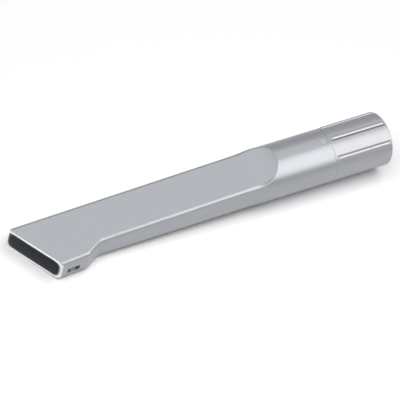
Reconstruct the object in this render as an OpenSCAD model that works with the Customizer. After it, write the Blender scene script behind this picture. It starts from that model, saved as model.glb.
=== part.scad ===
// Crevice nozzle of a commercial vacuum cleaner, in millimetres.
// The origin is the middle of the connector's open end, on the tube's axis.
// +X leaves the socket, the blade runs to -X, and +Z is square to the blade's wide upper face.
// "Distance" below always means the distance from the open end, along -X.

/* [Connector socket] */
// outer diameter of the suction wand that the socket takes
wand_d = 35; // [34:0.5:35.5]
// radial gap between the wand and the socket
socket_gap = 0.1; // [0.05:0.05:0.25]
// wall of the socket
socket_wall = 2.4; // [2.2:0.1:3.4]
// depth from the open end to the wand's stop
socket_depth = 40; // [34:1:43]
// length of the connector's visible sleeve, up to the ring line
sleeve_len = 48.5; // [46.5:0.5:52]
// rounding of the open end's outer edge
end_round = 0.8; // [0.4:0.1:1.2]

/* [Connector spigot] */
// length of the spigot that plugs into the nozzle body
spigot_len = 20; // [14:1:26]
// wall of the spigot
spigot_wall = 1.8; // [1.4:0.1:2.2]
// radial gap between the spigot and the body's bore
spigot_gap = 0.15; // [0.05:0.05:0.25]
// depth and half width of the V line where sleeve and body meet
ring_groove = 0.25; // [0.15:0.05:0.6]

/* [Grip ribs] */
// number of ribs on the upper side
rib_count = 3; // [1:1:5]
// angle from one rib to the next
rib_step = 45; // [30:1:50]
// width of a rib
rib_w = 2.6; // [2.2:0.1:3]
// height of a rib above the sleeve
rib_rise = 1; // [0.7:0.05:1.1]
// bare length left at each end of the ribs
rib_inset = 1.6; // [1.2:0.1:4]
// turn of ribs and snap nub round the tube, from the blade's face to the flared side
rib_turn = 3; // [0:0.5:8]

/* [Snap nub] */
// diameter of the spigot's snap nub
nub_d = 5.6; // [4:0.2:6.4]
// radial gap round the nub in the body's hole
nub_gap = 0.2; // [0.1:0.05:0.4]
// distance from the ring line to the nub's middle
nub_offset = 4.6; // [4.3:0.1:8]
// how far the nub's top stays below the tube's surface
nub_sink = 0.1; // [0:0.05:0.4]

/* [Tube] */
// wall of the tube
tube_wall = 2.2; // [1.8:0.1:2.4]

/* [Blade] */
// distance at which the flat faces are fully formed
flat_start = 114; // [110:1:120]
// radius of the scoops that run from the tube down to the flat faces
scoop_r = 28; // [22:1:36]
// distance at which the side walls are fully flat
side_start = 128; // [124:1:140]
// width of the blade
blade_w = 34.6; // [32:0.2:37]
// thickness of the blade at its root
root_t = 22.4; // [20:0.2:25]
// thickness of the blade at its mouth
mouth_t = 17.6; // [16.4:0.2:19]
// how far the blade's middle sinks from root to mouth
droop = 5.2; // [4:0.2:6]
// wall of the blade
blade_wall = 1.5; // [1.3:0.1:1.8]
// rounding of the blade's long outer edges
edge_r = 3.2; // [2.6:0.1:3.6]
// rounding of the duct's long inner edges
duct_r = 4.4; // [3.6:0.1:4.8]

/* [Flared head] */
// length of the head, from the mouth's middle back to where the shoulder begins
head_len = 50.8; // [48:0.4:58]
// length of the shoulder
flare_len = 16; // [12:1:18]
// share of the shoulder's length that each of its two bends takes
flare_bend = 0.18; // [0.14:0.01:0.3]
// extra width that the shoulder adds on one side
flare_w = 7; // [4:0.2:9]
// angle at which the flared side runs on to the mouth
flare_angle = 3.4; // [0:0.2:5]
// distance from the open end to the mouth, on the tube's axis
mouth_dist = 290.8; // [288:0.4:300]
// slant of the mouth in plan, longest on the straight side
mouth_angle = 28.5; // [22:0.5:31]
// plan rounding of the long corner of the mouth
long_corner_r = 5.5; // [3.5:0.5:8]
// plan rounding of the short corner of the mouth
short_corner_r = 2.6; // [1.5:0.1:4]

/* [Side window] */
// length of the window in the flared side
window_l = 10; // [8:0.5:11]
// height of the window
window_h = 4.5; // [3.5:0.1:5]
// how far the window's middle lies behind the mouth's middle
window_back = 24.8; // [22.4:0.4:26]
// height of the window's middle above the blade's middle
window_rise = -2.2; // [-2.4:0.1:-1.4]

/* [Mouth liner] */
// wall of the liner
liner_wall = 0.8; // [0.7:0.1:1.2]
// gap between the liner and the duct's side walls and ceiling
liner_gap = 0.35; // [0.3:0.05:0.5]
// how far the liner stays behind the mouth's rim
liner_recess = 0.8; // [0.6:0.1:3]
// length of the liner behind the shortest point of the mouth
liner_len = 16.5; // [15:0.5:17]
// length of the catch in the side window
catch_l = 4; // [2.5:0.5:5]
// height of the catch
catch_h = 1.8; // [1.2:0.1:2.4]
// how far the catch stays below the body's surface
catch_sink = 0.9; // [0.5:0.1:1.4]

/* [Hidden] */
$fn = 96;
eps = 0.01;
tube_r = wand_d / 2 + socket_gap + socket_wall;
bore_r = tube_r - tube_wall;
socket_r = wand_d / 2 + socket_gap;
spigot_r = bore_r - spigot_gap;
through_r = spigot_r - spigot_wall;
rib_round = rib_w / 2;
nub_dist = sleeve_len + nub_offset;
half_w = blade_w / 2;
droop_start = 104;
// how far the loft's first ring lies inside the tube's end, so the two join cleanly
seam = 0.04;
// the apex of the scoop, where its arc leaves the tube's surface
tip_height = tube_r - 0.06;
apex = flat_start - arc_reach(tip_height - half_t(flat_start));
mouth_slope = tan(mouth_angle);
flare_slope = tan(flare_angle);
flare_start = mouth_dist - head_len;
flare_end = flare_start + flare_len;
window_dist = mouth_dist - window_back;
// the mouth's end on the flared side, where its slant meets the widening wall
near_end_w = (half_w + flare_w + flare_slope * (mouth_dist - flare_end))
    / (1 + flare_slope * mouth_slope);
short_dist = mouth_dist - mouth_slope * near_end_w;

// points round one section: sides, corners and flats of its upper half
side_n = 7;
corner_n = 3;
flat_n = 8;
root_steps = 10;
flare_steps = 8;
mouth_steps = 5;

// ---- small helpers ----
function smooth(t) = t <= 0 ? 0 : t >= 1 ? 1 : t * t * (3 - 2 * t);
function mix(a, b, t) = a + (b - a) * t;
// a straight rise from 0 to 1 with a parabolic bend of length r at each end
function ramp(t, r) =
    t <= 0 ? 0
    : t >= 1 ? 1
    : t < r ? t * t / (2 * r * (1 - r))
    : t > 1 - r ? 1 - (1 - t) * (1 - t) / (2 * r * (1 - r))
    : (t - r / 2) / (1 - r);
function arc_reach(drop) = sqrt(scoop_r * scoop_r - pow(scoop_r - drop, 2));

// ---- the blade's law of form, as functions of the distance d ----
// half the thickness of the flat blade
function half_t(d) = mix(root_t, mouth_t, (d - droop_start) / (mouth_dist - droop_start)) / 2;
// height of the blade's middle, which sinks evenly from the root on
function mid_z(d) = -droop * max(0, d - droop_start) / (mouth_dist - droop_start);
// half the height at d: a concave arc from the tube's surface down to the flat face
function clip_h(d) =
    d >= flat_start ? half_t(d)
    : half_t(flat_start) + scoop_r - sqrt(scoop_r * scoop_r - pow(flat_start - d, 2));
// 0 where the sides are the round tube, 1 where they are flat
function flatness(d) = smooth((d - apex - 3) / (side_start - apex - 3));
// what the flare adds to the near side
function flare(d) =
    flare_w * ramp((d - flare_start) / flare_len, flare_bend) + flare_slope * max(0, d - flare_end);
// wall of the shell, from the tube's to the blade's
function wall(d) =
    mix(tube_wall - 5 * seam, blade_wall, smooth((d - apex) / (flat_start - apex)));

// half width of one side (-1 is the flared side) at height z above the middle
function side_y(d, z, sgn, off) =
    let (round_y = sqrt(max(0, pow(tube_r - seam - off, 2) - z * z)),
         flat_y = half_w - off + (sgn < 0 ? flare(d) : 0))
    mix(round_y, flat_y, flatness(d));

// the mouth's distance at height y across, with its two plan corners rounded
function corner_cut(y, edge, r) =
    let (t = min(r, max(0, y - (edge - r))))
    r - sqrt(r * r - t * t);
function mouth_at(y) =
    mouth_dist + mouth_slope * y
    - corner_cut(y, half_w, long_corner_r) - corner_cut(-y, near_end_w, short_corner_r);

// rounding of the long edges, which grows from nothing at the scoop's apex
function edge_at(d, off) = (off > 0 ? duct_r : edge_r) * mix(0.15, 1, smooth((d - apex) / 24));

// one corner of a section, a quadratic curve from side (t = 0) to flat (t = 1)
function corner(d, off, sgn, t) =
    let (h = clip_h(d) - off, f = min(edge_at(d, off), 0.45 * side_y(d, h, sgn, off)),
         a = [side_y(d, h - f, sgn, off), h - f],
         b = [side_y(d, h, sgn, off), h],
         c = [side_y(d, h, sgn, off) - f, h],
         p = (1 - t) * (1 - t) * a + 2 * t * (1 - t) * b + t * t * c)
    [sgn * p.x, p.y];
// one point of a side wall, from the middle (t = 0) up to the corner (t = 1)
function side(d, off, sgn, t) =
    let (h = clip_h(d) - off, f = min(edge_at(d, off), 0.45 * side_y(d, h, sgn, off)),
         z = (h - f) * sin(90 * t))
    [sgn * side_y(d, z, sgn, off), z];

// upper half of a section as [y, z above the middle], from the far side over to the near side
function upper(d, off) = concat(
    [for (i = [0 : side_n - 1]) side(d, off, 1, i / side_n)],
    [for (i = [0 : corner_n]) corner(d, off, 1, i / corner_n)],
    [for (i = [1 : flat_n - 1])
        mix(corner(d, off, 1, 1), corner(d, off, -1, 1), (1 - cos(180 * i / flat_n)) / 2)],
    [for (i = [corner_n : -1 : 0]) corner(d, off, -1, i / corner_n)],
    [for (i = [side_n - 1 : -1 : 0]) side(d, off, -1, i / side_n)]);
half_n = 2 * side_n + 2 * corner_n + flat_n + 1;
ring_n = 2 * half_n - 2;
function whole(u) = concat(u, [for (i = [half_n - 2 : -1 : 1]) [u[i].x, -u[i].y]]);

// a ring of 3-D points; share is 0 on a square section and 1 on the slanted mouth, set back
function ring(d, share, off, back = 0) =
    let (flat_ring = whole(upper(d, off)), end_ring = whole(upper(short_dist, off)))
    [for (i = [0 : ring_n - 1])
        let (e = mix(d, mouth_at(end_ring[i].x) - back, share),
             p = share == 0 ? flat_ring[i] : whole(upper(e, off))[i])
        [-e, p.x, mid_z(e) + p.y]];

// the stations along the loft, closest where the form turns most
stations = concat(
    [for (i = [0 : root_steps]) [mix(apex, side_start, pow(i / root_steps, 1.2)), 0]],
    [for (i = [1 : 3]) [mix(side_start, flare_start, i / 3), 0]],
    [for (i = [1 : flare_steps]) [mix(flare_start, flare_end, i / flare_steps), 0]],
    [for (i = [1 : mouth_steps]) [flare_end, smooth(i / mouth_steps) * 0.4 + i / mouth_steps * 0.6]]);

// faces between two rings of points, the outer skin first and the duct after it
function skin(rings, first, flip) =
    [for (s = [0 : rings - 2], i = [0 : ring_n - 1], k = [0, 1])
        let (j = (i + 1) % ring_n, a = first + s * ring_n + i, b = first + s * ring_n + j,
             c = a + ring_n, e = b + ring_n,
             f = k == 0 ? [a, b, e] : [a, e, c])
        flip ? [f[2], f[1], f[0]] : f];
// faces that close the wall between skin and duct at ring s
function rim(rings, s, flip) =
    [for (i = [0 : ring_n - 1], k = [0, 1])
        let (j = (i + 1) % ring_n, a = s * ring_n + i, b = s * ring_n + j,
             shift = rings * ring_n,
             f = k == 0 ? [a, b, b + shift] : [a, b + shift, a + shift])
        flip ? [f[2], f[1], f[0]] : f];
// a closed wall from two sets of rings, one round the other
module hollow_loft(outer, inner) {
    rings = len(outer);
    faces = concat(
        skin(rings, 0, false),
        skin(rings, rings * ring_n, true),
        rim(rings, 0, true),
        rim(rings, rings - 1, false));
    polyhedron(points = [for (r = concat(outer, inner), p = r) p], faces = faces);
}

// ---- nozzle body ----
// the round-to-flat shell with its scoops, flare and slanted mouth, hollow from end to end
module blade_shell() {
    hollow_loft(
        [for (s = stations) ring(s[0], s[1], 0)],
        [for (s = stations) ring(s[0], s[1], wall(s[0]))]);
}

// the tube from the ring line to the scoop's apex, its first edge bevelled for the V line
module body_tube() {
    rotate([0, -90, 0])
        rotate_extrude()
            polygon([
                [bore_r, sleeve_len],
                [tube_r - ring_groove, sleeve_len],
                [tube_r, sleeve_len + ring_groove],
                [tube_r, apex + seam],
                [bore_r, apex + seam]]);
}

// puts children on the flared wall: x along the wall, y out of it
module on_flared_wall(dist, z) {
    translate([-dist, -(half_w + flare(dist)), z])
        rotate([0, 0, flare_angle])
            children();
}

window_z = mid_z(window_dist) + window_rise;

module nozzle_body() {
    color([0.72, 0.74, 0.76])
    difference() {
        union() {
            body_tube();
            blade_shell();
        }
        // the hole of the snap nub
        rotate([rib_turn, 0, 0])
            translate([-nub_dist, 0, 0])
                cylinder(r = nub_d / 2 + nub_gap, h = tube_r + 2);
        // the window of the liner's catch
        on_flared_wall(window_dist, window_z)
            translate([-window_l / 2, -2, -window_h / 2])
                cube([window_l, blade_wall + 3, window_h]);
    }
}

// ---- connector ----
// sleeve and spigot in one revolved wall, the socket open to +X
module connector_wall() {
    rotate([0, -90, 0])
        rotate_extrude()
            difference() {
                polygon([
                    [through_r, 0],
                    [tube_r - end_round, 0],
                    [tube_r, end_round],
                    [tube_r, sleeve_len - ring_groove],
                    [tube_r - ring_groove, sleeve_len],
                    [spigot_r, sleeve_len],
                    [spigot_r, sleeve_len + spigot_len - 1],
                    [spigot_r - 0.6, sleeve_len + spigot_len],
                    [through_r, sleeve_len + spigot_len]]);
                square([socket_r, socket_depth]);
            }
}

// a rib with round ends, lying along the sleeve on the upper side
module rib() {
    first = rib_inset + rib_round;
    last = sleeve_len - rib_inset - rib_round;
    height = tube_r + rib_rise - rib_round;
    translate([-last, 0, height])
        rotate([0, 90, 0])
            cylinder(r = rib_round, h = last - first, $fn = 32);
    for (d = [first, last])
        translate([-d, 0, height])
            sphere(r = rib_round, $fn = 32);
}

// the snap nub, its top following the tube's round
module nub() {
    intersection() {
        translate([-nub_dist, 0, 0])
            cylinder(r = nub_d / 2, h = tube_r + 2);
        rotate([0, -90, 0])
            difference() {
                cylinder(r = tube_r - nub_sink, h = sleeve_len + spigot_len - 2);
                translate([0, 0, -1])
                    cylinder(r = spigot_r - spigot_wall / 2, h = sleeve_len + spigot_len);
            }
    }
}

module connector() {
    color([0.72, 0.74, 0.76]) {
        connector_wall();
        for (i = [0 : rib_count - 1])
            rotate([(i - (rib_count - 1) / 2) * rib_step + rib_turn, 0, 0])
                rib();
        rotate([rib_turn, 0, 0])
            nub();
    }
}

// ---- mouth liner ----
liner_back = short_dist - liner_len;
liner_off = blade_wall + liner_gap;
liner_steps = 4;

// a thin sleeve that follows the duct of the head and stands on the duct's floor
module liner_sleeve() {
    translate([0, 0, -liner_gap])
        hollow_loft(
            [for (i = [0 : liner_steps])
                ring(liner_back, i / liner_steps, liner_off, liner_recess)],
            [for (i = [0 : liner_steps])
                ring(liner_back, i / liner_steps, liner_off + liner_wall, liner_recess)]);
}

// the slot that frees the catch, as large as the body's window
module liner_slot() {
    on_flared_wall(window_dist, window_z)
        translate([-window_l / 2, liner_off - 1, -window_h / 2])
            cube([window_l, liner_wall + 2, window_h]);
}

// the catch, standing on the lower edge of the window and rooted in the liner below it
module liner_catch() {
    on_flared_wall(window_dist, window_z) {
        translate([-catch_l / 2, catch_sink, -window_h / 2])
            cube([catch_l, liner_off + liner_wall - catch_sink, catch_h]);
        translate([-catch_l / 2, liner_off + liner_wall / 4, -window_h / 2 - 0.6])
            cube([catch_l, liner_wall * 0.75, catch_h]);
    }
}

module mouth_liner() {
    color([0.14, 0.15, 0.17]) {
        difference() {
            liner_sleeve();
            liner_slot();
        }
        liner_catch();
    }
}

// ---- output ----
nozzle_body();
connector();
mouth_liner();
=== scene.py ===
"""Crevice nozzle of a commercial vacuum cleaner: looks, light and camera.

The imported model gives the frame: +X leaves the wand socket along the tube's axis, the blade
runs to -X and +Z is square to the blade's upper face. The shell is made again here as a numpy
surface with finer rounds than the CAD solid, in the same box. The connector and the mouth
liner are the CAD pieces themselves, dressed in their plastics.
"""

from __future__ import annotations

import logging
import math
from dataclasses import dataclass, field, replace
from enum import Enum

import bpy
import numpy as np
from mathutils import Matrix, Vector


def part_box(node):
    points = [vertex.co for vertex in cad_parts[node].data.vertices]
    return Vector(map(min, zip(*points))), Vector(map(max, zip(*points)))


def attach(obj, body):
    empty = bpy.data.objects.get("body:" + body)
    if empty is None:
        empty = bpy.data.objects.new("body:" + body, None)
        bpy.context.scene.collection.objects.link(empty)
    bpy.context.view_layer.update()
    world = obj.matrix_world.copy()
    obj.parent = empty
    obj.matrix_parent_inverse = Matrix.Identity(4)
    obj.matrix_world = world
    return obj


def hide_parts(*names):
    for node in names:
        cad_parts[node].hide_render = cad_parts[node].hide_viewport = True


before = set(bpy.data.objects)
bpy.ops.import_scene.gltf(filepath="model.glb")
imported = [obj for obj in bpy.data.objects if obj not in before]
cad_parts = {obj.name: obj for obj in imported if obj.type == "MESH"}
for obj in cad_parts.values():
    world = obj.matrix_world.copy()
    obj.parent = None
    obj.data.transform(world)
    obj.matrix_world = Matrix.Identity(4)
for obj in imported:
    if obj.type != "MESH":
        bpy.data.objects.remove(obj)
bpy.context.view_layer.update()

logging.basicConfig(level=logging.INFO, format="%(message)s")
log = logging.getLogger("crevice_nozzle")

MM = 0.001
WHITE = (1.0, 1.0, 1.0)

Number = float | np.ndarray
Socket = bpy.types.NodeSocket
Signal = bpy.types.NodeSocket | float


class Carried(Enum):
    """Names of the CAD nodes that are shown as they are."""

    CONNECTOR = "connector"
    LINER = "mouth_liner"


class Tone(Enum):
    """Which moulding a finish belongs to."""

    SHELL = "shell"
    CONNECTOR = "connector"
    LINER = "liner"


# --------------------------------------------------------------------------------------
# finishes
# --------------------------------------------------------------------------------------


@dataclass(frozen=True)
class PlasticFinish:
    """A moulded plastic.

    Attributes:
        name: material name.
        colour: linear base colour.
        roughness: mean surface roughness.
        mottle: how much the roughness wanders, as a share of itself.
        tint: strength of the slow colour drift of the moulding.
        grain_mm: size of the spark-eroded grain in millimetres.
        grain_depth: height of the grain in millimetres.
        wear: strength of the fine lengthwise scuffs.
        metal: share of the pearly metallic pigment.
        pale: linear colour toward which the painted highlights on the bright lines and tops are
            moved.
        ior: index of refraction.
    """

    name: str
    colour: tuple[float, float, float]
    roughness: float
    mottle: float
    tint: float
    grain_mm: float
    grain_depth: float
    wear: float
    metal: float = 0.0
    # colour of the painted highlights
    pale: tuple[float, float, float] = (0.88, 0.89, 0.91)
    ior: float = 1.5


FINISHES: dict[Tone, PlasticFinish] = {
    Tone.SHELL: PlasticFinish(
        name="grey_moulded_shell",
        colour=(0.406, 0.421, 0.452),
        roughness=0.36,
        metal=0.5,
        mottle=0.08,
        tint=0.03,
        grain_mm=0.35,
        grain_depth=0.010,
        wear=0.035,
    ),
    Tone.CONNECTOR: PlasticFinish(
        name="grey_moulded_connector",
        colour=(0.412, 0.427, 0.457),
        roughness=0.36,
        metal=0.5,
        mottle=0.10,
        tint=0.03,
        grain_mm=0.30,
        grain_depth=0.010,
        wear=0.06,
    ),
    # the liner's dark colour stands in for the shade inside the mouth and behind the window:
    # painted shade
    Tone.LINER: PlasticFinish(
        name="dark_liner",
        colour=(0.082, 0.089, 0.106),
        roughness=0.46,
        mottle=0.12,
        tint=0.10,
        grain_mm=0.45,
        grain_depth=0.020,
        wear=0.08,
    ),
}


@dataclass(frozen=True)
class Noise:
    """A noise in object coordinates.

    Attributes:
        scale: features per metre.
        detail: number of octaves.
        stretch: factor on each coordinate, under 1 where the features are drawn out.
    """

    scale: float
    detail: float
    stretch: tuple[float, float, float] = (1.0, 1.0, 1.0)


@dataclass(frozen=True)
class Moulding:
    """What all the plastics have in common, as the shared node group makes it.

    Attributes:
        drift: slow drift of the melt, drawn out along X.
        speckle: finer speckle of the pigment.
        speckle_share: strength of the speckle beside the drift.
        scuff: short scuffs that follow the length of the tool.
        scuff_from: value of the scuff noise at which a scuff begins.
        scuff_to: value at which it is full.
        scuff_lift: how much a scuff brightens the colour.
        scuff_rough: how much a scuff roughens the surface.
        scuff_depth: depth of a scuff, as a share of the grain's depth.
        wander: where the roughness wanders.
        grain_detail: octaves of the grain.
        bump: strength of the bump.
        painted_shade_depth: share of the colour that full painted shade takes away.
    """

    drift: Noise = Noise(18.0, 3.0, (0.35, 1.0, 1.0))
    speckle: Noise = Noise(900.0, 2.0)
    speckle_share: float = 0.35
    scuff: Noise = Noise(260.0, 4.0, (0.06, 1.0, 1.0))
    scuff_from: float = 0.60
    scuff_to: float = 0.74
    scuff_lift: float = 0.12
    scuff_rough: float = 0.25
    scuff_depth: float = 0.8
    wander: Noise = Noise(140.0, 4.0)
    grain_detail: float = 3.0
    bump: float = 0.55
    # how much of the colour the painted shade in the creases takes away
    painted_shade_depth: float = 0.62


@dataclass(frozen=True)
class Grip:
    """The connector's ribs and nub, and the painted highlights and painted shade laid over them.

    The tones are listed. Every pair of lengths is where a tone begins and where it is full, in
    millimetres: along the tube from the open end, from the tube's axis, or as an arc from the
    rib's middle.

    Attributes:
        tube_r: radius of the sleeve.
        rib_step: angle from one rib to the next in degrees.
        rib_turn: turn of ribs and nub round the tube, from the blade's face to the near side.
        far_end: where the creases begin, beside the ring line.
        open_end: where they begin, beside the open end.
        crest_rise: distances from the axis at which the painted highlight on a rib's crest begins.
        crest_painted_highlight: how pale the painted highlight makes the crest.
        nub_back: distances along the tube at which the nub begins.
        nub_rise: distances from the axis at which the painted highlight on the nub's top begins.
        nub_painted_highlight: how pale the painted highlight makes the nub.
        crease_foot: arcs at which the painted shade in a crease begins, at the rib's foot.
        crease_edge: arcs at which it ends, on the sleeve.
        crease_painted_shade: painted shade in a crease.
        panel_painted_shade: further painted shade in the panel between the middle rib and the near
            one.
    """

    tube_r: float = 20.0
    rib_step: float = 45.0
    rib_turn: float = 3.0
    far_end: tuple[float, float] = (47.6, 46.6)
    open_end: tuple[float, float] = (0.9, 1.9)
    # painted highlight on the ribs' crests and on the nub's top
    crest_rise: tuple[float, float] = (20.06, 20.40)
    crest_painted_highlight: float = 0.22
    nub_back: tuple[float, float] = (49.6, 50.0)
    nub_rise: tuple[float, float] = (19.5, 19.7)
    nub_painted_highlight: float = 0.06
    crease_foot: tuple[float, float] = (1.05, 1.35)
    crease_edge: tuple[float, float] = (2.5, 1.8)
    # painted shade in the creases beside the ribs
    crease_painted_shade: float = 0.25
    panel_painted_shade: float = 0.75


@dataclass(frozen=True)
class Catch:
    """The catch of the liner, which shows in the side window.

    Attributes:
        top: distances to the near side, in millimetres, between which its painted highlight
            begins.
        pale: how pale the painted highlight makes the top.
    """

    # painted highlight on the catch's top, where light falls through the window
    top: tuple[float, float] = (23.3, 23.5)
    pale: float = 0.25


MOULDING = Moulding()
GRIP = Grip()
CATCH = Catch()


class Bench:
    """Puts nodes into one node tree and joins them."""

    def __init__(self, tree: bpy.types.NodeTree) -> None:
        self.nodes, self.links = tree.nodes, tree.links
        self.coordinates: Socket | None = None

    def point(self) -> Socket:
        """Returns the object coordinates, from one node for the whole tree."""
        if self.coordinates is None:
            self.coordinates = self.nodes.new("ShaderNodeTexCoord").outputs["Object"]
        return self.coordinates

    def feed(self, value: Signal, entry: Socket) -> None:
        """Joins a socket to an input, or sets the input to a number."""
        if isinstance(value, bpy.types.NodeSocket):
            self.links.new(value, entry)
        else:
            entry.default_value = value

    def math(self, operation: str, *values: Signal) -> Socket:
        """Puts in a math node on sockets or numbers and returns its output."""
        node = self.nodes.new("ShaderNodeMath")
        node.operation = operation
        for entry, value in zip(node.inputs, values):
            self.feed(value, entry)
        return node.outputs[0]

    def product(self, *values: Signal) -> Socket:
        """Multiplies two or more sockets or numbers and returns the output."""
        result = values[0]
        for value in values[1:]:
            result = self.math("MULTIPLY", result, value)
        return result

    def scaled(self, colour: Socket, gain: Socket) -> Socket:
        """Multiplies a colour by a value and returns the output."""
        node = self.nodes.new("ShaderNodeVectorMath")
        node.operation = "SCALE"
        self.links.new(colour, node.inputs[0])
        self.links.new(gain, node.inputs["Scale"])
        return node.outputs[0]

    def rise(
        self, value: Socket, start: float, full: float, most: float = 1.0,
        curve: str = "SMOOTHSTEP",
    ) -> Socket:
        """Puts in a rise from 0 at start to a most value at full, on whichever side that is.

        Args:
            value: what it depends on.
            start: where it is 0.
            full: where it is at its most.
            most: its greatest value.
            curve: SMOOTHSTEP or LINEAR.

        Returns:
            The output.
        """
        node = self.nodes.new("ShaderNodeMapRange")
        node.interpolation_type = curve
        falls = full < start
        node.inputs["From Min"].default_value = min(start, full)
        node.inputs["From Max"].default_value = max(start, full)
        node.inputs["To Min"].default_value = most if falls else 0.0
        node.inputs["To Max"].default_value = 0.0 if falls else most
        self.links.new(value, node.inputs["Value"])
        return node.outputs["Result"]

    def noise(self, kind: Noise, scale: Socket | None = None) -> Socket:
        """Puts in a noise in object coordinates.

        Args:
            kind: the noise.
            scale: a socket that gives the scale instead of the noise's own.

        Returns:
            The noise's value.
        """
        stretch = self.nodes.new("ShaderNodeMapping")
        stretch.inputs["Scale"].default_value = kind.stretch
        self.links.new(self.point(), stretch.inputs["Vector"])
        node = self.nodes.new("ShaderNodeTexNoise")
        node.inputs["Detail"].default_value = kind.detail
        self.links.new(stretch.outputs[0], node.inputs["Vector"])
        self.feed(kind.scale if scale is None else scale, node.inputs["Scale"])
        return node.outputs["Fac"]

    def centred(self, kind: Noise) -> Socket:
        """Puts in a noise whose middle value is 0."""
        return self.math("SUBTRACT", self.noise(kind), 0.5)

    def axes(self) -> tuple[Socket, Socket, Socket]:
        """Splits the object coordinates into X, Y and Z."""
        split = self.nodes.new("ShaderNodeSeparateXYZ")
        self.links.new(self.point(), split.inputs[0])
        return tuple(split.outputs)


class Finishes:
    """Builds the plastics and the node groups that they share."""

    def __init__(self) -> None:
        self.surface = self._surface_group()
        self.marks = self._marks_group()
        self.made: dict[Tone, bpy.types.Material] = {}

    @staticmethod
    def _socket(
        group: bpy.types.NodeTree, name: str, kind: str, side: str, value: float | None = None
    ) -> None:
        """Adds one socket to a node group.

        Args:
            group: the node group.
            name: the socket's name.
            kind: Float, Color or Vector.
            side: INPUT or OUTPUT.
            value: default value of a float input.
        """
        made = group.interface.new_socket(name, in_out=side, socket_type=f"NodeSocket{kind}")
        if value is not None:
            made.default_value = value

    def _surface_group(self) -> bpy.types.NodeTree:
        """Makes the shared group: grain, flow lines and scuffs as masks, colour and normal.

        Colour = base times (1 + tint times the drift and speckle), brightened by the scuffs.
        Roughness = its mean times (1 + mottle times a noise from -1 to 1), raised by the
        scuffs. The bump's height is the grain less the scuffs.

        Returns:
            The node group. It puts out a colour, a roughness value and a normal.
        """
        group = bpy.data.node_groups.new("moulded_surface", "ShaderNodeTree")
        self._socket(group, "Base", "Color", "INPUT")
        for name, value in (
            ("Roughness", 0.4),
            ("Mottle", 0.1),
            ("Tint", 0.05),
            ("Grain scale", 3000.0),
            ("Grain depth", 0.00001),
            ("Wear", 0.1),
        ):
            self._socket(group, name, "Float", "INPUT", value)
        self._socket(group, "Colour", "Color", "OUTPUT")
        self._socket(group, "Roughness", "Float", "OUTPUT")
        self._socket(group, "Normal", "Vector", "OUTPUT")

        m, bench = MOULDING, Bench(group)
        nodes, links = group.nodes, group.links
        given = nodes.new("NodeGroupInput").outputs
        out = nodes.new("NodeGroupOutput")

        speckle = bench.product(bench.centred(m.speckle), m.speckle_share)
        uneven = bench.math("ADD", bench.centred(m.drift), speckle)
        gain = bench.math("ADD", bench.product(uneven, given["Tint"]), 1.0)
        scuff = bench.rise(bench.noise(m.scuff), m.scuff_from, m.scuff_to, curve="LINEAR")
        scuffed = bench.product(scuff, given["Wear"])

        lift = nodes.new("ShaderNodeVectorMath")
        lift.operation = "ADD"
        links.new(bench.scaled(given["Base"], gain), lift.inputs[0])
        links.new(bench.product(scuffed, m.scuff_lift), lift.inputs[1])
        links.new(lift.outputs[0], out.inputs["Colour"])

        wander = bench.product(bench.centred(m.wander), 2.0)
        share = bench.math("ADD", bench.product(wander, given["Mottle"]), 1.0)
        rough = bench.product(given["Roughness"], share)
        rough = bench.math("ADD", rough, bench.product(scuffed, m.scuff_rough))
        links.new(rough, out.inputs["Roughness"])

        grain = bench.noise(Noise(1.0, m.grain_detail), given["Grain scale"])
        height = bench.math("SUBTRACT", grain, bench.product(scuffed, m.scuff_depth))
        bump = nodes.new("ShaderNodeBump")
        bump.inputs["Strength"].default_value = m.bump
        links.new(given["Grain depth"], bump.inputs["Distance"])
        links.new(height, bump.inputs["Height"])
        links.new(bump.outputs[0], out.inputs["Normal"])
        return group

    def _marks_group(self) -> bpy.types.NodeTree:
        """Makes the shared group that lays painted highlights and painted shade over a colour.

        Colour = base moved toward the pale colour by the highlight share, then darkened by the
        shade share.

        Returns:
            The node group. It puts out a colour.
        """
        group = bpy.data.node_groups.new("painted_highlight_and_shade", "ShaderNodeTree")
        self._socket(group, "Base", "Color", "INPUT")
        self._socket(group, "Pale", "Color", "INPUT")
        self._socket(group, "Highlight share", "Float", "INPUT", 0.0)
        self._socket(group, "Shade share", "Float", "INPUT", 0.0)
        self._socket(group, "Colour", "Color", "OUTPUT")

        bench = Bench(group)
        nodes, links = group.nodes, group.links
        given = nodes.new("NodeGroupInput").outputs
        out = nodes.new("NodeGroupOutput")
        paled = nodes.new("ShaderNodeMix")
        paled.data_type = "RGBA"
        factor, first, second = (paled.inputs[i] for i in (0, 6, 7))
        links.new(given["Highlight share"], factor)
        links.new(given["Base"], first)
        links.new(given["Pale"], second)
        kept = bench.math("MULTIPLY_ADD", given["Shade share"], -MOULDING.painted_shade_depth, 1.0)
        links.new(bench.scaled(paled.outputs[2], kept), out.inputs["Colour"])
        return group

    @staticmethod
    def _catch_highlight_mask(tree: bpy.types.NodeTree) -> Socket:
        """Works out where the catch's painted highlight is: all of the liner beyond a plane.

        Args:
            tree: the material's node tree.

        Returns:
            The mask.
        """
        bench = Bench(tree)
        _, y, _ = bench.axes()
        start, full = CATCH.top
        return bench.rise(y, -start * MM, -full * MM, CATCH.pale, "LINEAR")

    @staticmethod
    def _rib_highlight_and_shade(tree: bpy.types.NodeTree) -> tuple[Socket, Socket]:
        """Works out where the painted highlights on the ribs' crests and the painted shade in the
        creases beside them are.

        Seen along the tube, a point's angle from the nearest rib times the tube's radius is
        its arc to that rib. The crease is a narrow band of that arc, and the crest is all of a
        marked rib that stands higher than the sleeve. The nub is found by its place along the
        tube.

        Args:
            tree: the material's node tree.

        Returns:
            The mask of the painted highlight on crests and nub, and the mask of the painted shade
            in the creases.
        """
        bench = Bench(tree)
        x, y, z = bench.axes()
        turn, half = math.radians(GRIP.rib_turn), math.radians(GRIP.rib_step / 2)

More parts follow.
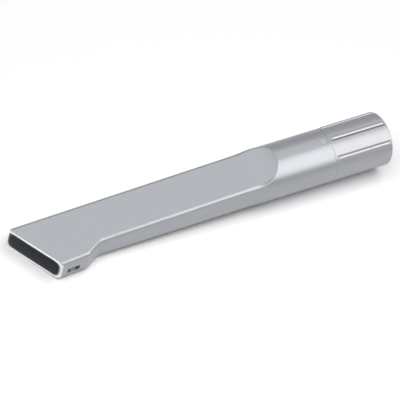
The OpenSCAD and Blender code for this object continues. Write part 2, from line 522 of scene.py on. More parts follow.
        def span(value: Socket, ends: tuple[float, float], sign: int = 1) -> Socket:
            """A rise between two lengths in millimetres, counted along -X where sign is -1."""
            return bench.rise(value, sign * ends[0] * MM, sign * ends[1] * MM)

        bearing = bench.math("ARCTAN2", bench.product(y, -1.0), z)
        angle = bench.math("SUBTRACT", bearing, turn)
        arc = bench.product(bench.math("PINGPONG", angle, half), GRIP.tube_r * MM)
        radius = bench.math("SQRT", bench.math("ADD", bench.product(y, y), bench.product(z, z)))
        # the far rib gets no painted highlight or painted shade, because a pale crest would stand
        # out at the outline
        aside = bench.math("ABSOLUTE", bench.math("SUBTRACT", angle, half))
        near = bench.math("LESS_THAN", aside, 2 * half)
        # painted highlight on the ribs' crests and on the nub's top
        crest = bench.product(span(radius, GRIP.crest_rise), near, GRIP.crest_painted_highlight)
        nub = bench.product(span(x, GRIP.nub_back, -1), span(radius, GRIP.nub_rise))
        bright = bench.math("MULTIPLY_ADD", nub, GRIP.nub_painted_highlight, crest)

        # painted shade in the creases beside the ribs
        along = bench.product(span(x, GRIP.far_end, -1), span(x, GRIP.open_end, -1))
        band = bench.product(span(arc, GRIP.crease_foot), span(arc, GRIP.crease_edge))
        # the painted shade is darkest in the creases between the middle rib and the near one
        before = bench.math("GREATER_THAN", angle, 0.0)
        behind = bench.math("LESS_THAN", angle, 2 * half)
        panel = bench.product(before, behind)
        depth = bench.math("MULTIPLY_ADD", panel, GRIP.panel_painted_shade, GRIP.crease_painted_shade)
        return bright, bench.product(band, along, near, depth)

    def get(self, tone: Tone) -> bpy.types.Material:
        """Returns the material of one moulding, made on first use.

        Args:
            tone: which moulding.

        Returns:
            The material.
        """
        if tone in self.made:
            return self.made[tone]
        finish = FINISHES[tone]
        mat = bpy.data.materials.new(finish.name)
        mat.use_nodes = True
        nodes, links = mat.node_tree.nodes, mat.node_tree.links
        bsdf = nodes["Principled BSDF"]
        surface = nodes.new("ShaderNodeGroup")
        surface.node_tree = self.surface
        for name, value in (
            ("Base", (*finish.colour, 1.0)),
            ("Roughness", finish.roughness),
            ("Mottle", finish.mottle),
            ("Tint", finish.tint),
            ("Grain scale", 1.0 / (finish.grain_mm * MM)),
            ("Grain depth", finish.grain_depth * MM),
            ("Wear", finish.wear),
        ):
            surface.inputs[name].default_value = value
        marks = nodes.new("ShaderNodeGroup")
        marks.node_tree = self.marks
        marks.inputs["Pale"].default_value = (*finish.pale, 1.0)
        links.new(surface.outputs["Colour"], marks.inputs["Base"])
        # painted highlight on the mouth's rim, the catch's top and the ribs' crests, and painted
        # shade in the ribs' creases
        if tone is Tone.SHELL:
            rim = nodes.new("ShaderNodeAttribute")
            rim.attribute_name = "rim_painted_highlight"
            links.new(rim.outputs["Fac"], marks.inputs["Highlight share"])
        elif tone is Tone.LINER:
            links.new(self._catch_highlight_mask(mat.node_tree), marks.inputs["Highlight share"])
        else:
            crest, crease = self._rib_highlight_and_shade(mat.node_tree)
            links.new(crest, marks.inputs["Highlight share"])
            links.new(crease, marks.inputs["Shade share"])
        links.new(marks.outputs["Colour"], bsdf.inputs["Base Color"])
        links.new(surface.outputs["Roughness"], bsdf.inputs["Roughness"])
        links.new(surface.outputs["Normal"], bsdf.inputs["Normal"])
        bsdf.inputs["IOR"].default_value = finish.ior
        bsdf.inputs["Metallic"].default_value = finish.metal
        mat.diffuse_color = (*finish.colour, 1.0)
        self.made[tone] = mat
        return mat


# --------------------------------------------------------------------------------------
# surfaces
# --------------------------------------------------------------------------------------


def smooth(t: Number) -> Number:
    """Returns the smooth step of t: 0 below 0, 1 above 1, cubic between."""
    t = np.clip(t, 0.0, 1.0)
    return t * t * (3.0 - 2.0 * t)


def mesh_from_grid(
    name: str, grid: np.ndarray, wrap_rows: bool, caps: bool = False
) -> bpy.types.Object:
    """Makes a mesh of quads from a grid of points whose rows are closed rings.

    Args:
        name: the object's name.
        grid: points in metres, shape (rows, points, 3).
        wrap_rows: joins the last row to the first.
        caps: closes the first and last rows with a face each.

    Returns:
        The object, linked to the scene, at the origin.
    """
    rows, count = grid.shape[:2]
    a, b = np.meshgrid(np.arange(rows if wrap_rows else rows - 1), np.arange(count), indexing="ij")
    a2, b2 = (a + 1) % rows, (b + 1) % count
    corners = [a * count + b, a * count + b2, a2 * count + b2, a2 * count + b]
    faces = np.stack(corners, -1).reshape(-1, 4).tolist()
    if caps:
        ring = np.arange(count)
        faces.append(ring[::-1].tolist())
        faces.append((ring + (rows - 1) * count).tolist())
    mesh = bpy.data.meshes.new(name)
    mesh.from_pydata(grid.reshape(-1, 3).tolist(), [], faces)
    mesh.validate()
    mesh.update()
    obj = bpy.data.objects.new(name, mesh)
    bpy.context.scene.collection.objects.link(obj)
    return obj


def face_outward(obj: bpy.types.Object) -> None:
    """Turns a closed mesh's faces outward, by the sign of its volume."""
    mesh = obj.data
    mesh.calc_loop_triangles()
    co = np.empty(len(mesh.vertices) * 3)
    mesh.vertices.foreach_get("co", co)
    tri = np.empty(len(mesh.loop_triangles) * 3, dtype=np.int64)
    mesh.loop_triangles.foreach_get("vertices", tri)
    p = co.reshape(-1, 3)[tri.reshape(-1, 3)]
    volume = np.einsum("ij,ij->i", p[:, 0], np.cross(p[:, 1], p[:, 2])).sum() / 6.0
    if volume < 0:
        mesh.flip_normals()
    mesh.update()


def shade(obj: bpy.types.Object, angle_deg: float) -> None:
    """Shades an object smooth and keeps edges sharper than an angle crisp."""
    mesh = obj.data
    mesh.polygons.foreach_set("use_smooth", [True] * len(mesh.polygons))
    mesh.set_sharp_from_angle(angle=math.radians(angle_deg))
    mesh.update()


def cut_away(obj: bpy.types.Object, cutters: list[bpy.types.Object]) -> None:
    """Cuts closed meshes out of an object, with an exact boolean each, and removes them.

    Args:
        obj: the object that is changed.
        cutters: closed meshes.
    """
    for cutter in cutters:
        mod = obj.modifiers.new("cut", "BOOLEAN")
        mod.operation = "DIFFERENCE"
        mod.solver = "EXACT"
        mod.object = cutter
        bpy.context.view_layer.update()
        graph = bpy.context.evaluated_depsgraph_get()
        done = bpy.data.meshes.new_from_object(obj.evaluated_get(graph))
        obj.modifiers.clear()
        old = obj.data
        obj.data = done
        bpy.data.meshes.remove(old)
        bpy.data.objects.remove(cutter)


@dataclass(frozen=True)
class RingPoints:
    """How finely the shell is divided.

    Attributes:
        side: points on half of a side wall.
        corner: steps round an edge.
        flat: steps across a flat face.
        tube: rings from the ring line to the scoop's apex.
        bore: rings from the apex back to the ring line, inside.
        root: rings from the apex to where the sides are flat.
        crowding: power that crowds the root's rings toward the apex.
        blade: rings along the blade.
        shoulder: rings along the shoulder.
        head: rings from the shoulder's end to the slanted mouth.
        rounding: rings round a quarter turn of a lip.
        hole: points round the nub's hole.
        window: points round each of the window's corners.
    """

    side: int = 16
    corner: int = 7
    flat: int = 24
    tube: int = 12
    bore: int = 6
    root: int = 37
    crowding: float = 1.35
    blade: int = 12
    shoulder: int = 25
    head: int = 13
    rounding: int = 7
    hole: int = 48
    window: int = 5


POINTS = RingPoints()


@dataclass
class BladeForm:
    """The law of form of the shell, in millimetres, with d the distance from the open end.

    The section is the round tube up to the scoop's apex. From there a concave arc takes
    the height down to the flat faces while the sides turn from arcs into flat walls. The
    flat blade tapers and sinks evenly, and one side widens by a smooth shoulder.

    Attributes:
        tube_r: radius of the tube.
        tube_wall: wall of the tube.
        sleeve: distance of the ring line, where the connector's sleeve ends.
        flat_start: where the flat faces are fully formed.
        scoop_r: radius of the scoops.
        scoop_lip: how far below the tube's surface the scoop's arc begins.
        side_lag: how far behind the apex the sides begin to flatten.
        side_start: where the side walls are fully flat.
        half_w: half the width of the blade.
        root_t: thickness of the blade at its root.
        mouth_t: thickness of the blade at its mouth.
        droop: how far the blade's middle sinks from root to mouth.
        droop_start: where it begins to taper and sink.
        wall: wall of the blade.
        edge_r: rounding of the long outer edges.
        duct_r: rounding of the duct's long inner edges.
        edge_seed: share of those roundings at the apex.
        edge_grow: length over which they grow to their full size.
        edge_share: largest share of the half width that a rounding may take.
        flare_start: where the shoulder begins.
        flare_len: length of the shoulder.
        flare_w: extra width that it adds.
        flare_bend: share of the shoulder's length that each of its two bends takes.
        flare_angle: angle at which the flared side runs on to the mouth.
        mouth: distance of the mouth on the tube's axis.
        mouth_angle: slant of the mouth in plan.
        long_r: plan rounding of the long corner of the mouth.
        short_r: plan rounding of the short corner.
        apex: where the scoop's arc leaves the tube's surface.
        flare_end: where the shoulder ends.
        slant: slope of the mouth in plan.
        splay: slope of the flared side in plan.
        near_w: half width of the near side at the mouth.
        short: distance of the mouth's short corner.
    """

    tube_r: float = 20.0
    tube_wall: float = 2.2
    sleeve: float = 48.5
    flat_start: float = 114.0
    scoop_r: float = 28.0
    scoop_lip: float = 0.02
    side_lag: float = 3.0
    side_start: float = 128.0
    half_w: float = 17.3
    root_t: float = 22.4
    mouth_t: float = 17.6
    droop: float = 5.2
    droop_start: float = 104.0
    wall: float = 1.5
    edge_r: float = 3.2
    duct_r: float = 4.4
    edge_seed: float = 0.04
    edge_grow: float = 24.0
    edge_share: float = 0.45
    flare_start: float = 240.0
    flare_len: float = 16.0
    flare_w: float = 7.0
    flare_bend: float = 0.18
    flare_angle: float = 3.4
    mouth: float = 290.8
    mouth_angle: float = 28.5
    long_r: float = 5.5
    short_r: float = 2.6
    apex: float = field(init=False)
    flare_end: float = field(init=False)
    slant: float = field(init=False)
    splay: float = field(init=False)
    near_w: float = field(init=False)
    short: float = field(init=False)

    def __post_init__(self) -> None:
        """Works out the places that follow from the sizes."""
        drop = self.tube_r - self.scoop_lip - self.half_t(self.flat_start)
        run = math.sqrt(self.scoop_r**2 - (self.scoop_r - drop) ** 2)
        self.apex = self.flat_start - run
        self.flare_end = self.flare_start + self.flare_len
        self.slant = math.tan(math.radians(self.mouth_angle))
        self.splay = math.tan(math.radians(self.flare_angle))
        on_axis = self.half_w + self.flare_w + self.splay * (self.mouth - self.flare_end)
        self.near_w = on_axis / (1 + self.splay * self.slant)
        self.short = self.mouth - self.slant * self.near_w

    def half_t(self, d: Number) -> Number:
        """Half the thickness of the flat blade at d, which falls evenly."""
        t = (d - self.droop_start) / (self.mouth - self.droop_start)
        return (self.root_t + (self.mouth_t - self.root_t) * t) / 2

    def mid_z(self, d: Number) -> Number:
        """Height of the blade's middle at d, which sinks evenly."""
        return -self.droop * np.maximum(0, d - self.droop_start) / (self.mouth - self.droop_start)

    def clip_h(self, d: Number) -> np.ndarray:
        """Half the height at d: the scoop's arc of a circle first, then the flat blade."""
        inside = np.clip(self.flat_start - d, 0, self.flat_start - self.apex)
        arc = self.half_t(self.flat_start) + self.scoop_r - np.sqrt(self.scoop_r**2 - inside**2)
        return np.where(d >= self.flat_start, self.half_t(d), arc)

    def flatness(self, d: Number) -> Number:
        """0 where the sides are the tube's arcs, 1 where they are flat, by a smooth step."""
        start = self.apex + self.side_lag
        return smooth((d - start) / (self.side_start - start))

    def flare(self, d: Number) -> Number:
        """What the flare adds to the near side at d.

        The shoulder rises as a parabola, then as a straight line, then as the same parabola
        upside down, and past it the side runs on at the flare's slope.
        """
        t, r = np.clip((d - self.flare_start) / self.flare_len, 0.0, 1.0), self.flare_bend
        bend = 2 * r * (1 - r)
        leaving, arriving = t * t / bend, 1 - (1 - t) ** 2 / bend
        rise = np.where(t < r, leaving, np.where(t > 1 - r, arriving, (t - r / 2) / (1 - r)))
        return self.flare_w * rise + self.splay * np.maximum(0, d - self.flare_end)

    def shell_wall(self, d: Number) -> Number:
        """Wall thickness at d: the tube's at the apex and the blade's at the flat faces."""
        t = smooth((d - self.apex) / (self.flat_start - self.apex))
        return self.tube_wall + (self.wall - self.tube_wall) * t

    def mouth_at(self, y: np.ndarray) -> np.ndarray:
        """Distance of the slanted mouth at y, with its two plan corners rounded."""

        def cut(v: np.ndarray, edge: float, r: float) -> np.ndarray:
            """How much a quarter circle of radius r takes off beside an edge."""
            t = np.clip(v - (edge - r), 0, r)
            return r - np.sqrt(np.maximum(r * r - t * t, 0))

        far, near = cut(y, self.half_w, self.long_r), cut(-y, self.near_w, self.short_r)
        return self.mouth + self.slant * y - far - near

    def side_y(self, d: np.ndarray, z: np.ndarray, side: int, off: float) -> np.ndarray:
        """Half width of one side at height z above the middle.

        It is the tube's arc and the flat wall, mixed by the flatness.

        Args:
            d: distances.
            z: heights.
            side: 1 for the far side, -1 for the near one, which flares.
            off: offset inward from the outer surface.

        Returns:
            The half widths.
        """
        r = self.tube_r - off
        arc = np.sqrt(np.maximum(r * r - z * z, 0))
        wall = self.half_w - off + (self.flare(d) if side < 0 else 0)
        m = self.flatness(d)
        return arc * (1 - m) + wall * m

    def upper(self, d: Number, off: float, inner: bool) -> np.ndarray:
        """Upper half of a section, from the far side over the face to the near side.

        A side's points rise as the sine of their share of it. An edge is a conic between side
        and face: a true round outside, and a parabola in the duct, where the liner fits it. The
        face is a straight run whose points are crowded at its ends by a cosine.

        Args:
            d: distance of each point, or one number for all.
            off: offset inward from the outer surface.
            inner: whether the duct's corner rounding applies.

        Returns:
            Array (points, 2) of y and z above the middle.
        """
        ns, nc, nf = POINTS.side, POINTS.corner, POINTS.flat
        count = 2 * ns + 2 * nc + nf + 1
        d = np.broadcast_to(np.asarray(d, float), (count,))
        h = self.clip_h(d) - off
        grown = self.edge_seed + (1 - self.edge_seed) * smooth((d - self.apex) / self.edge_grow)
        r = (self.duct_r if inner else self.edge_r) * grown
        weight = 1.0 if inner else math.sqrt(0.5)
        out = np.zeros((count, 2))
        run: dict[int, np.ndarray] = {}
        for side in (1, -1):
            top = self.side_y(d, h, side, off)
            fillet = np.minimum(r, self.edge_share * top)
            foot = self.side_y(d, h - fillet, side, off)
            run[side] = side * (top - fillet)
            up, over = np.arange(ns), ns + np.arange(nc + 1)
            if side < 0:
                up, over = count - 1 - up, count - 1 - over
            z = (h[up] - fillet[up]) * np.sin(np.pi / 2 * np.arange(ns) / ns)
            out[up, 0] = side * self.side_y(d[up], z, side, off)
            out[up, 1] = z
            t = np.arange(nc + 1) / nc
            b0, b1, b2 = (1 - t) ** 2, 2 * weight * t * (1 - t), t**2
            y = b0 * foot[over] + b1 * top[over] + b2 * (top[over] - fillet[over])
            z = b0 * (h[over] - fillet[over]) + (b1 + b2) * h[over]
            out[over, 0] = side * y / (b0 + b1 + b2)
            out[over, 1] = z / (b0 + b1 + b2)
        first = ns + nc
        face = np.arange(first + 1, first + nf)
        t = (1 - np.cos(np.pi * (face - first) / nf)) / 2
        out[face, 0] = run[1][face] * (1 - t) + run[-1][face] * t
        out[face, 1] = h[face]
        return out

    def ring(
        self, d: float, share: float, off: float, inner: bool, back: float = 0.0
    ) -> np.ndarray:
        """One closed ring: the upper half of a section and its mirror image below.

        Each point's distance goes from that of the square section to that of the slanted
        mouth at its y, by the share.

        Args:
            d: distance of the square section.
            share: 0 for a square section, 1 for the slanted mouth.
            off: offset inward.
            inner: whether this is the duct.
            back: how far the slanted end lies behind the mouth.

        Returns:
            Array (points, 3) in millimetres, in the part's frame.
        """
        end = self.upper(self.short, off, inner)
        e = d + (self.mouth_at(end[:, 0]) - back - d) * share
        u = self.upper(e, off, inner)
        e2, low = e[1:-1][::-1], u[1:-1][::-1]
        top = np.stack([-e, u[:, 0], self.mid_z(e) + u[:, 1]], -1)
        bottom = np.stack([-e2, low[:, 0], self.mid_z(e2) - low[:, 1]], -1)
        return np.concatenate([top, bottom])

    def stations(self) -> list[tuple[float, float]]:
        """Distance and mouth share of every ring from the apex to the mouth itself."""
        t = np.arange(POINTS.root) / (POINTS.root - 1)
        root = self.apex + (self.side_start - self.apex) * t**POINTS.crowding
        blade = np.linspace(self.side_start, self.flare_start, POINTS.blade)[1:]
        shoulder = np.linspace(self.flare_start, self.flare_end, POINTS.shoulder)[1:]
        square = [(float(d), 0.0) for d in np.concatenate([root, blade, shoulder])]
        return square + [(self.flare_end, s) for s in np.linspace(0, 1, POINTS.head)[1:]]


@dataclass
class NozzleShell:
    """The long shell: tube, scoops, blade and flared head, hollow from end to end.

    Attributes:
        form: its law of form.
        groove: rounding of the ring line's edge.
        lip_r: rounding of the mouth's rim, outside and inside.
        lip_back: how far behind the mouth the last full ring before the rim lies.
        mouth_corner: rounding of the duct's corners within the rim.
        liner_start: how far behind the mouth the duct has its own corners again.
        nub_dist: distance of the nub's hole.
        nub_hole_r: radius of the nub's hole.
        drill: distances from the axis at which the drill of that hole begins and ends.
        window_dist: distance of the side window.
        window_rise: height of the window's middle above the blade's middle.
        window_size: length and height of the window.
        window_r: rounding of the window's corners.
        window_reach: how far the window's cutter stands out past the wall, on each side.
        rim_highlight_full: how far behind the mouth the painted highlight on the rim is full.
        rim_highlight_fade: length over which that painted highlight fades.
        crisp: angle in degrees from which an edge stays crisp.
    """

    form: BladeForm = field(default_factory=BladeForm)
    groove: float = 0.25
    lip_r: float = 0.6
    lip_back: float = 1.0
    mouth_corner: float = 5.8
    liner_start: float = 0.8
    nub_dist: float = 53.1
    nub_hole_r: float = 3.0
    drill: tuple[float, float] = (10.0, 24.0)
    window_dist: float = 266.0
    window_rise: float = -2.2
    window_size: tuple[float, float] = (10.0, 4.5)
    window_r: float = 0.5
    window_reach: tuple[float, float] = (2.0, 1.0)
    rim_highlight_full: float = 0.12
    rim_highlight_fade: float = 0.40
    crisp: float = 32.0

    def skin(self) -> np.ndarray:
        """Rings from the ring line over the outer skin, round the lip and back up the duct.

        A lip's quarter turn at angle c lies 1 - cos c of its radius inward of the skin and
        1 - sin c of it behind the end.

        Returns:
            Grid (rings, points, 3) in metres; it closes on itself both ways.
        """
        f = self.form
        unit = f.ring(f.apex, 0.0, 0.0, False)
        ang = np.arctan2(unit[:, 1], unit[:, 2])

        def tube(d: float, r: float) -> np.ndarray:
            """A round ring whose points lie at the angles of the loft's first ring."""
            return np.stack([np.full_like(ang, -d), r * np.sin(ang), r * np.cos(ang)], -1)

        def mouth(form: BladeForm, off: float, inner: bool, back: float) -> np.ndarray:
            """A ring that follows the slanted mouth."""
            return form.ring(f.flare_end, 1.0, off, inner, back)

        quarter = np.radians(np.linspace(0, 90, POINTS.rounding))
        turns = [(1 - math.cos(c), 1 - math.sin(c)) for c in quarter]
        bore = f.tube_r - f.tube_wall
        g, lip, eased = self.groove, self.lip_r, replace(f, duct_r=self.mouth_corner)
        stations = f.stations()
        rings = [tube(f.sleeve + g * c, f.tube_r - g * s) for c, s in turns]
        rings += [tube(d, f.tube_r) for d in np.linspace(f.sleeve + g, f.apex, POINTS.tube)[1:-1]]
        rings += [f.ring(d, share, 0.0, False) for d, share in stations[:-2]]
        rings.append(mouth(f, 0.0, False, self.lip_back))
        rings += [mouth(f, lip * c, False, lip * s) for c, s in turns]
        rings += [mouth(eased, f.wall - lip * c, True, lip * s) for c, s in turns[::-1]]
        rings.append(mouth(f, f.wall, True, self.liner_start))
        rings += [f.ring(d, share, f.shell_wall(d), True) for d, share in stations[-2::-1]]
        rings += [tube(d, bore) for d in np.linspace(f.apex, f.sleeve, POINTS.bore)[1:]]
        return np.array(rings) * MM

    def window_cutter(self) -> bpy.types.Object:
        """Makes the closed block that cuts the side window.

        Its outline is four quarter circles, and it goes through the wall along the wall's
        own normal, turned by the flare's angle.

        Returns:
            The block.
        """
        f, r = self.form, self.window_r
        z0 = f.mid_z(self.window_dist) + self.window_rise
        y0 = -(f.half_w + f.flare(self.window_dist))
        turn = math.radians(f.flare_angle)
        half_l, half_h = (size / 2 - r for size in self.window_size)
        ang = np.radians(np.arange(4)[:, None] * 90 + np.linspace(0, 90, POINTS.window))
        ends, sides = np.array([1, -1, -1, 1])[:, None], np.array([1, 1, -1, -1])[:, None]
        along = (ends * half_l + r * np.cos(ang)).ravel()
        up = (sides * half_h + r * np.sin(ang)).ravel()
        outside, inside = self.window_reach
        depth = np.array([[-outside], [f.wall + inside]])
        grid = np.stack([
            -self.window_dist + along * math.cos(turn) - depth * math.sin(turn),
            y0 + along * math.sin(turn) + depth * math.cos(turn),
            z0 + up + 0 * depth,
        ], -1)
        cutter = mesh_from_grid("window_cutter", grid * MM, False, caps=True)
        face_outward(cutter)
        return cutter

    def nub_cutter(self) -> bpy.types.Object:
        """Makes the drill of the nub's hole: a cylinder, turned with the ribs."""
        a = np.linspace(0, 2 * np.pi, POINTS.hole + 1)[:-1]
        turn = math.radians(GRIP.rib_turn)
        across, out = self.nub_hole_r * np.sin(a), np.array(self.drill)[:, None]
        grid = np.stack([
            -self.nub_dist + self.nub_hole_r * np.cos(a) + 0 * out,
            across * math.cos(turn) - out * math.sin(turn),
            across * math.sin(turn) + out * math.cos(turn),
        ], -1)
        cutter = mesh_from_grid("nub_cutter", grid * MM, False, caps=True)
        face_outward(cutter)
        return cutter

    def paint_rim_highlight(self, obj: bpy.types.Object) -> None:
        """Marks how much painted highlight each vertex of the mouth's rim gets.

        The mark is 1 close behind the slanted mouth and falls to 0 by a smooth step.
        """
        mesh = obj.data
        co = np.empty(len(mesh.vertices) * 3, dtype=np.float32)
        mesh.vertices.foreach_get("co", co)
        co = co.reshape(-1, 3) / MM
        back = self.form.mouth_at(co[:, 1]) + co[:, 0]
        mark = 1.0 - smooth((back - self.rim_highlight_full) / self.rim_highlight_fade)
        attr = mesh.attributes.new("rim_painted_highlight", "FLOAT", "POINT")
        attr.data.foreach_set("value", mark.astype(np.float32))

    def build(self, finishes: Finishes) -> bpy.types.Object:
        """Makes the shell, cuts its window and hole, and puts it in place of the CAD node.

        Args:
            finishes: the plastics.

        Returns:
            The shell.
        """
        obj = mesh_from_grid("nozzle_shell", self.skin(), True)
        face_outward(obj)
        cut_away(obj, [self.window_cutter(), self.nub_cutter()])
        obj.data.materials.clear()
        obj.data.materials.append(finishes.get(Tone.SHELL))
        # painted highlight on the mouth's rim
        self.paint_rim_highlight(obj)
        shade(obj, self.crisp)
        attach(obj, "root")
        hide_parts("nozzle_body")
        return obj


@dataclass
class CarriedPiece:
    """A CAD node that is shown as it is, in its plastic.

    Attributes:
        node: which node.
        tone: which plastic.
    """

    node: Carried
    tone: Tone

    def build(self, finishes: Finishes) -> bpy.types.Object:
        """Gives the node its plastic and returns it."""
        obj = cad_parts[self.node.value]
        for s in obj.material_slots:
            s.material = finishes.get(self.tone)
        return obj


# --------------------------------------------------------------------------------------
# stage
# --------------------------------------------------------------------------------------


class Reach(Enum):
    """What a lamp shines on."""

    PART = "part"
    FLOOR = "floor"


@dataclass(frozen=True)
class Lamp:
    """A soft rectangular lamp.

    Attributes:
        name: what it does.
        turn: angle round the tube, from the top towards the viewer, in degrees.
        lean: how far it leans along +X, as a slope.
        distance: metres from the middle of the object.
        size: its two sides in metres, along the tube and across it.
        power: watts.
        reach: what it shines on.
        colour: its linear colour.
    """

    name: str
    turn: float
    lean: float
    distance: float
    size: tuple[float, float]
    power: float
    reach: Reach = Reach.PART
    colour: tuple[float, float, float] = WHITE


WARM = (1.0, 0.972, 0.955)
LAMPS = (
    Lamp("key", 55.0, 0.58, 1.6, (1.1, 1.85), 20.5, colour=WARM),
    Lamp("top", -8.0, -0.15, 1.8, (4.2, 1.5), 23.0),
    Lamp("back", -50.0, 0.0, 2.0, (5.0, 0.7), 4.5),
    Lamp("low", 86.0, -0.6, 1.7, (2.4, 1.2), 5.5),
    Lamp("mouth", 39.0, -1.23, 1.5, (0.9, 0.9), 9.0),
    Lamp("wash", 29.0, 0.0, 1.8, (2.8, 1.6), 44.0, reach=Reach.FLOOR),
)


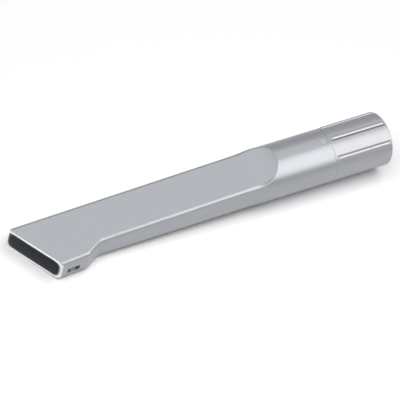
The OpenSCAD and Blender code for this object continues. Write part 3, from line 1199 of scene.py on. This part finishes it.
@dataclass
class Studio:
    """Floor, light and camera.

    The camera looks down on the blade's face from the near side, a little from the mouth's
    end. Its axes are built from a bearing and a height, about a frame that is rolled round
    the tube's axis.

    Attributes:
        pieces: the visible pieces.
        roll: roll of the viewer's frame round the tube's axis, in degrees.
        bearing: bearing of the view toward the connector, in degrees.
        height: height of the view, in degrees.
        distance: distance of the camera from its target, in metres.
        shift_right: how far the target lies to the left of the origin, in metres.
        shift_up: how far the target lies below the origin, in metres.
        lens: focal length in millimetres.
        sensor: width of the sensor in millimetres.
        view_end: farthest distance that the camera sees, in metres.
        aim_x: place on the tube's axis that the lamps face, in metres.
        floor_gap: how far the floor lies below the object, in millimetres.
        floor_size: half the side of the floor, in metres.
        floor_seen: reflectance of the floor as the camera sees it.
        floor_lit: reflectance of the floor as the object sees it.
        floor_glow: light of its own that the camera sees on the floor.
        sky: colour of the light from all round.
        sky_power: strength of that light.
    """

    pieces: list[bpy.types.Object]
    roll: float = 22.0
    bearing: float = 30.15
    height: float = 32.14
    distance: float = 2.572
    shift_right: float = 0.1312
    shift_up: float = 0.0453
    lens: float = 315.0
    sensor: float = 36.0
    view_end: float = 20.0
    aim_x: float = -0.14
    floor_gap: float = 0.15
    floor_size: float = 6.0
    floor_seen: float = 1.0
    floor_lit: float = 0.85
    floor_glow: float = 0.08
    sky: tuple[float, float, float] = (0.97, 0.985, 1.0)
    sky_power: float = 0.05

    def rolled(self) -> tuple[Vector, Vector, Vector]:
        """The rolled frame: along the tube, toward the viewer's side, and up."""
        c, s = math.cos(math.radians(self.roll)), math.sin(math.radians(self.roll))
        return Vector((1, 0, 0)), Vector((0, -c, s)), Vector((0, s, c))

    def camera(self) -> None:
        """Puts the camera in place, its axes being right, up and against the view."""
        x, near, top = self.rolled()
        turn, tilt = math.radians(self.bearing), math.radians(self.height)
        right = math.cos(turn) * x + math.sin(turn) * near
        ahead = math.sin(turn) * x - math.cos(turn) * near
        up = math.sin(tilt) * ahead + math.cos(tilt) * top
        look = math.cos(tilt) * ahead - math.sin(tilt) * top
        data = bpy.data.cameras.new("camera")
        data.lens = self.lens
        data.sensor_width = self.sensor
        data.clip_end = self.view_end
        data.dof.use_dof = False
        cam = bpy.data.objects.new("camera", data)
        bpy.context.scene.collection.objects.link(cam)
        axes = Matrix((right, up, -look)).transposed()
        place = -(self.shift_right * right + self.shift_up * up + self.distance * look)
        cam.matrix_world = Matrix.Translation(place) @ axes.to_4x4()
        bpy.context.scene.camera = cam

    def floor(self) -> bpy.types.Object:
        """Makes the floor: the plane on which the tube and the head's lower lip rest.

        It touches the tube's lowest line at the scoop and the mouth's lowest line, less a
        small gap, and rises evenly between them.

        Returns:
            The floor.
        """
        low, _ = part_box("nozzle_body")
        f = BladeForm()
        tube_low = low[2] / MM
        mouth_low = f.mid_z(f.mouth) - f.half_t(f.mouth)
        rise = (mouth_low - tube_low) / (f.mouth - f.apex)
        z0 = (tube_low - rise * f.apex - self.floor_gap) * MM
        size = self.floor_size
        corners = ((-size, -size), (size, -size), (size, size), (-size, size))
        mesh = bpy.data.meshes.new("floor")
        mesh.from_pydata([(x, y, z0 - rise * x) for x, y in corners], [], [(0, 1, 2, 3)])
        mesh.update()
        mesh.materials.append(self.white_sweep())
        obj = bpy.data.objects.new("floor", mesh)
        bpy.context.scene.collection.objects.link(obj)
        return obj

    def white_sweep(self) -> bpy.types.Material:
        """Makes the floor's material, a little brighter to the camera than to the object."""
        mat = bpy.data.materials.new("white_sweep")
        mat.use_nodes = True
        nodes, links = mat.node_tree.nodes, mat.node_tree.links
        nodes.clear()
        out = nodes.new("ShaderNodeOutputMaterial")
        path = nodes.new("ShaderNodeLightPath")
        mix = nodes.new("ShaderNodeMixShader")
        add = nodes.new("ShaderNodeAddShader")
        glow = nodes.new("ShaderNodeEmission")
        glow.inputs["Strength"].default_value = self.floor_glow
        seen, other = nodes.new("ShaderNodeBsdfDiffuse"), nodes.new("ShaderNodeBsdfDiffuse")
        seen.inputs["Color"].default_value = (*(self.floor_seen,) * 3, 1)
        other.inputs["Color"].default_value = (*(self.floor_lit,) * 3, 1)
        links.new(seen.outputs[0], add.inputs[0])
        links.new(glow.outputs[0], add.inputs[1])
        links.new(path.outputs["Is Camera Ray"], mix.inputs["Fac"])
        links.new(other.outputs[0], mix.inputs[1])
        links.new(add.outputs[0], mix.inputs[2])
        links.new(mix.outputs[0], out.inputs["Surface"])
        return mat

    def lamp(self, lamp: Lamp, lit: bpy.types.Collection) -> None:
        """Adds a soft rectangular lamp that faces the middle of the object.

        Args:
            lamp: its sizes and power.
            lit: the objects that it lights.
        """
        x, near, top = self.rolled()
        c = math.radians(lamp.turn)
        away = (near * math.sin(c) + top * math.cos(c) + lamp.lean * x).normalized()
        along = (x - away * away.x).normalized()
        data = bpy.data.lights.new(lamp.name, "AREA")
        data.shape = "RECTANGLE"
        data.size, data.size_y = lamp.size
        data.energy = lamp.power
        data.color = lamp.colour
        obj = bpy.data.objects.new(lamp.name, data)
        obj.light_linking.receiver_collection = lit
        axes = Matrix((along, away.cross(along), away)).transposed()
        place = Vector((self.aim_x, 0, 0)) + away * lamp.distance
        obj.matrix_world = Matrix.Translation(place) @ axes.to_4x4()
        bpy.context.scene.collection.objects.link(obj)

    def world(self) -> None:
        """Sets the world: a faint sky for the object, and white for the camera."""
        world = bpy.data.worlds.new("studio")
        bpy.context.scene.world = world
        world.use_nodes = True
        nodes, links = world.node_tree.nodes, world.node_tree.links
        nodes.clear()
        out = nodes.new("ShaderNodeOutputWorld")
        path = nodes.new("ShaderNodeLightPath")
        mix = nodes.new("ShaderNodeMixShader")
        for place, colour, power in ((1, self.sky, self.sky_power), (2, WHITE, 1.0)):
            shine = nodes.new("ShaderNodeBackground")
            shine.inputs["Color"].default_value = (*colour, 1)
            shine.inputs["Strength"].default_value = power
            links.new(shine.outputs[0], mix.inputs[place])
        links.new(path.outputs["Is Camera Ray"], mix.inputs["Fac"])
        links.new(mix.outputs[0], out.inputs["Surface"])

    def light(self, floor: bpy.types.Object) -> None:
        """Sets the lamps. Each lights either the pieces or the floor.

        Args:
            floor: the floor, which its own lamp keeps white.
        """
        lit = {reach: bpy.data.collections.new(f"lit_{reach.value}") for reach in Reach}
        for piece in self.pieces:
            lit[Reach.PART].objects.link(piece)
        lit[Reach.FLOOR].objects.link(floor)
        for lamp in LAMPS:
            self.lamp(lamp, lit[lamp.reach])

    def settings(self) -> None:
        """Sets the view transform and the sampling."""
        scene = bpy.context.scene
        scene.view_settings.view_transform = "Standard"
        scene.render.engine = "CYCLES"
        scene.cycles.samples = 128
        scene.cycles.use_denoising = True
        scene.cycles.max_bounces = 8

    def build(self) -> None:
        """Sets the whole stage."""
        self.settings()
        self.world()
        self.light(self.floor())
        self.camera()


def main() -> None:
    """Builds the pieces and the stage."""
    finishes = Finishes()
    pieces = []
    for maker in (
        NozzleShell(),
        CarriedPiece(Carried.CONNECTOR, Tone.CONNECTOR),
        CarriedPiece(Carried.LINER, Tone.LINER),
    ):
        obj = maker.build(finishes)
        log.info("%s: %d faces", obj.name, len(obj.data.polygons))
        pieces.append(obj)
    Studio(pieces).build()


if __name__ == "__main__":
    main()
